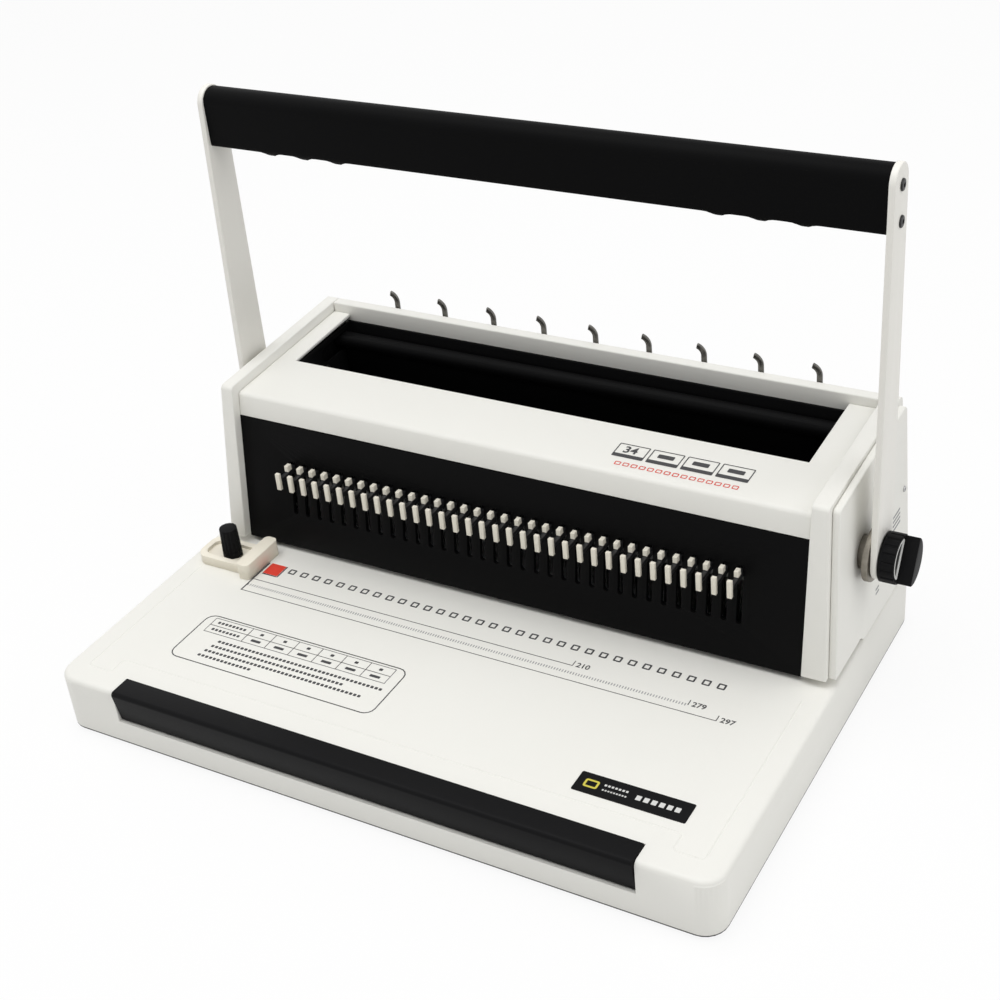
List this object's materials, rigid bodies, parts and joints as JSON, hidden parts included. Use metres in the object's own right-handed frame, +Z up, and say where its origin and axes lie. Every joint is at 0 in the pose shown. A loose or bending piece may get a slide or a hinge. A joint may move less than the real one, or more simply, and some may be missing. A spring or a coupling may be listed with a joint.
{
  "type": "wire binding machine",
  "caption": "Desk punch and wire closer: flat base with paper stop and chip tray, slotted punch tower with pulls, wire chamber in the top, full-width lever and size dial.",
  "frame": {"origin": "under the middle of the base, on the table, at the middle foot", "axes": "+X to the right, -Y to the front where the sheets go in, +Z up"},
  "size_m": [0.4171, 0.2772, 0.3019],
  "materials": {
    "white_shell": "warm white, fine grain",
    "cream_plastic": "cream, smooth",
    "cream_paint": "cream paint, satin",
    "black_plastic": "black, satin",
    "grip_plastic": "black, fine grain",
    "panel_paint": "black paint, satin",
    "dark_steel": "blackened",
    "plain_steel": "ground",
    "pan_steel": "dark paint",
    "foot_rubber": "plain"
  },
  "bodies": {
    "frame": {"base_cover": "white_shell", "bottom_pan": "pan_steel", "rubber_feet": "foot_rubber", "front_panel": "panel_paint", "top_cover": "white_shell", "left_cover": "white_shell", "right_cover": "white_shell", "right_shell": "white_shell", "rear_cover": "white_shell", "side_frames": "plain_steel", "wire_trough": "panel_paint", "die_plate": "plain_steel", "punch_guide": "plain_steel", "return_springs": "plain_steel", "hub_plate": "plain_steel", "wire_hooks": "dark_steel"},
    "lever": {"drive_shaft": "plain_steel", "lever_arms": "cream_paint", "grip": "grip_plastic"},
    "press": {"press_bar": "plain_steel", "punches": "plain_steel"},
    "closing": {"closing_bar": "panel_paint"},
    "dial": {"dial": "black_plastic"},
    "tray": {"chip_tray": "black_plastic"},
    "stop": {"paper_stop": "cream_plastic"},
    "knob": {"stop_knob": "black_plastic"},
    "pull_01": {"pull_01": "cream_plastic"},
    "pull_02": {"pull_02": "cream_plastic"},
    "pull_03": {"pull_03": "cream_plastic"},
    "pull_04": {"pull_04": "cream_plastic"},
    "pull_05": {"pull_05": "cream_plastic"},
    "pull_06": {"pull_06": "cream_plastic"},
    "pull_07": {"pull_07": "cream_plastic"},
    "pull_08": {"pull_08": "cream_plastic"},
    "pull_09": {"pull_09": "cream_plastic"},
    "pull_10": {"pull_10": "cream_plastic"},
    "pull_11": {"pull_11": "cream_plastic"},
    "pull_12": {"pull_12": "cream_plastic"},
    "pull_13": {"pull_13": "cream_plastic"},
    "pull_14": {"pull_14": "cream_plastic"},
    "pull_15": {"pull_15": "cream_plastic"},
    "pull_16": {"pull_16": "cream_plastic"},
    "pull_17": {"pull_17": "cream_plastic"},
    "pull_18": {"pull_18": "cream_plastic"},
    "pull_19": {"pull_19": "cream_plastic"},
    "pull_20": {"pull_20": "cream_plastic"},
    "pull_21": {"pull_21": "cream_plastic"},
    "pull_22": {"pull_22": "cream_plastic"},
    "pull_23": {"pull_23": "cream_plastic"},
    "pull_24": {"pull_24": "cream_plastic"},
    "pull_25": {"pull_25": "cream_plastic"},
    "pull_26": {"pull_26": "cream_plastic"},
    "pull_27": {"pull_27": "cream_plastic"},
    "pull_28": {"pull_28": "cream_plastic"},
    "pull_29": {"pull_29": "cream_plastic"},
    "pull_30": {"pull_30": "cream_plastic"},
    "pull_31": {"pull_31": "cream_plastic"},
    "pull_32": {"pull_32": "cream_plastic"},
    "pull_33": {"pull_33": "cream_plastic"},
    "pull_34": {"pull_34": "cream_plastic"}
  },
  "joints": [
    {"name": "lever_swing", "type": "hinge", "parent": "frame", "child": "lever", "pos_m": [0, 0.0595, 0.093], "axis": [1, 0, 0], "range_deg": [0, 60]},
    {"name": "press_slide", "type": "slide", "parent": "frame", "child": "press", "axis": [0, 0, -1], "range_m": [0, 0.018], "stiffness_N_per_m": 2600, "springref_m": -0.009, "deforming": ["return_springs"]},
    {"name": "closing_slide", "type": "slide", "parent": "frame", "child": "closing", "axis": [0, -1, 0], "range_m": [0, 0.02]},
    {"name": "dial_turn", "type": "hinge", "parent": "frame", "child": "dial", "pos_m": [0.21, 0.0595, 0.093], "axis": [1, 0, 0], "range_deg": [-150, 150]},
    {"name": "tray_slide", "type": "slide", "parent": "frame", "child": "tray", "axis": [0, -1, 0], "range_m": [0, 0.12]},
    {"name": "stop_slide", "type": "slide", "parent": "frame", "child": "stop", "axis": [1, 0, 0], "range_m": [-0.003, 0.003]},
    {"name": "knob_turn", "type": "hinge", "parent": "frame", "child": "knob", "pos_m": [-0.16945, -0.008, 0.047], "axis": [0, 0, 1], "range_deg": [-180, 180]},
    {"name": "pull_01_slide", "type": "slide", "parent": "press", "child": "pull_01", "axis": [0, -1, 0], "range_m": [0, 0.006]},
    {"name": "pull_02_slide", "type": "slide", "parent": "press", "child": "pull_02", "axis": [0, -1, 0], "range_m": [0, 0.006]},
    {"name": "pull_03_slide", "type": "slide", "parent": "press", "child": "pull_03", "axis": [0, -1, 0], "range_m": [0, 0.006]},
    {"name": "pull_04_slide", "type": "slide", "parent": "press", "child": "pull_04", "axis": [0, -1, 0], "range_m": [0, 0.006]},
    {"name": "pull_05_slide", "type": "slide", "parent": "press", "child": "pull_05", "axis": [0, -1, 0], "range_m": [0, 0.006]},
    {"name": "pull_06_slide", "type": "slide", "parent": "press", "child": "pull_06", "axis": [0, -1, 0], "range_m": [0, 0.006]},
    {"name": "pull_07_slide", "type": "slide", "parent": "press", "child": "pull_07", "axis": [0, -1, 0], "range_m": [0, 0.006]},
    {"name": "pull_08_slide", "type": "slide", "parent": "press", "child": "pull_08", "axis": [0, -1, 0], "range_m": [0, 0.006]},
    {"name": "pull_09_slide", "type": "slide", "parent": "press", "child": "pull_09", "axis": [0, -1, 0], "range_m": [0, 0.006]},
    {"name": "pull_10_slide", "type": "slide", "parent": "press", "child": "pull_10", "axis": [0, -1, 0], "range_m": [0, 0.006]},
    {"name": "pull_11_slide", "type": "slide", "parent": "press", "child": "pull_11", "axis": [0, -1, 0], "range_m": [0, 0.006]},
    {"name": "pull_12_slide", "type": "slide", "parent": "press", "child": "pull_12", "axis": [0, -1, 0], "range_m": [0, 0.006]},
    {"name": "pull_13_slide", "type": "slide", "parent": "press", "child": "pull_13", "axis": [0, -1, 0], "range_m": [0, 0.006]},
    {"name": "pull_14_slide", "type": "slide", "parent": "press", "child": "pull_14", "axis": [0, -1, 0], "range_m": [0, 0.006]},
    {"name": "pull_15_slide", "type": "slide", "parent": "press", "child": "pull_15", "axis": [0, -1, 0], "range_m": [0, 0.006]},
    {"name": "pull_16_slide", "type": "slide", "parent": "press", "child": "pull_16", "axis": [0, -1, 0], "range_m": [0, 0.006]},
    {"name": "pull_17_slide", "type": "slide", "parent": "press", "child": "pull_17", "axis": [0, -1, 0], "range_m": [0, 0.006]},
    {"name": "pull_18_slide", "type": "slide", "parent": "press", "child": "pull_18", "axis": [0, -1, 0], "range_m": [0, 0.006]},
    {"name": "pull_19_slide", "type": "slide", "parent": "press", "child": "pull_19", "axis": [0, -1, 0], "range_m": [0, 0.006]},
    {"name": "pull_20_slide", "type": "slide", "parent": "press", "child": "pull_20", "axis": [0, -1, 0], "range_m": [0, 0.006]},
    {"name": "pull_21_slide", "type": "slide", "parent": "press", "child": "pull_21", "axis": [0, -1, 0], "range_m": [0, 0.006]},
    {"name": "pull_22_slide", "type": "slide", "parent": "press", "child": "pull_22", "axis": [0, -1, 0], "range_m": [0, 0.006]},
    {"name": "pull_23_slide", "type": "slide", "parent": "press", "child": "pull_23", "axis": [0, -1, 0], "range_m": [0, 0.006]},
    {"name": "pull_24_slide", "type": "slide", "parent": "press", "child": "pull_24", "axis": [0, -1, 0], "range_m": [0, 0.006]},
    {"name": "pull_25_slide", "type": "slide", "parent": "press", "child": "pull_25", "axis": [0, -1, 0], "range_m": [0, 0.006]},
    {"name": "pull_26_slide", "type": "slide", "parent": "press", "child": "pull_26", "axis": [0, -1, 0], "range_m": [0, 0.006]},
    {"name": "pull_27_slide", "type": "slide", "parent": "press", "child": "pull_27", "axis": [0, -1, 0], "range_m": [0, 0.006]},
    {"name": "pull_28_slide", "type": "slide", "parent": "press", "child": "pull_28", "axis": [0, -1, 0], "range_m": [0, 0.006]},
    {"name": "pull_29_slide", "type": "slide", "parent": "press", "child": "pull_29", "axis": [0, -1, 0], "range_m": [0, 0.006]},
    {"name": "pull_30_slide", "type": "slide", "parent": "press", "child": "pull_30", "axis": [0, -1, 0], "range_m": [0, 0.006]},
    {"name": "pull_31_slide", "type": "slide", "parent": "press", "child": "pull_31", "axis": [0, -1, 0], "range_m": [0, 0.006]},
    {"name": "pull_32_slide", "type": "slide", "parent": "press", "child": "pull_32", "axis": [0, -1, 0], "range_m": [0, 0.006]},
    {"name": "pull_33_slide", "type": "slide", "parent": "press", "child": "pull_33", "axis": [0, -1, 0], "range_m": [0, 0.006]},
    {"name": "pull_34_slide", "type": "slide", "parent": "press", "child": "pull_34", "axis": [0, -1, 0], "range_m": [0, 0.006]}
  ],
  "couplings": [
    {"joint": "press_slide", "follows": "lever_swing", "m_per_rad": 0.01718},
    {"joint": "closing_slide", "follows": "lever_swing", "m_per_rad": 0.01909}
  ]
}
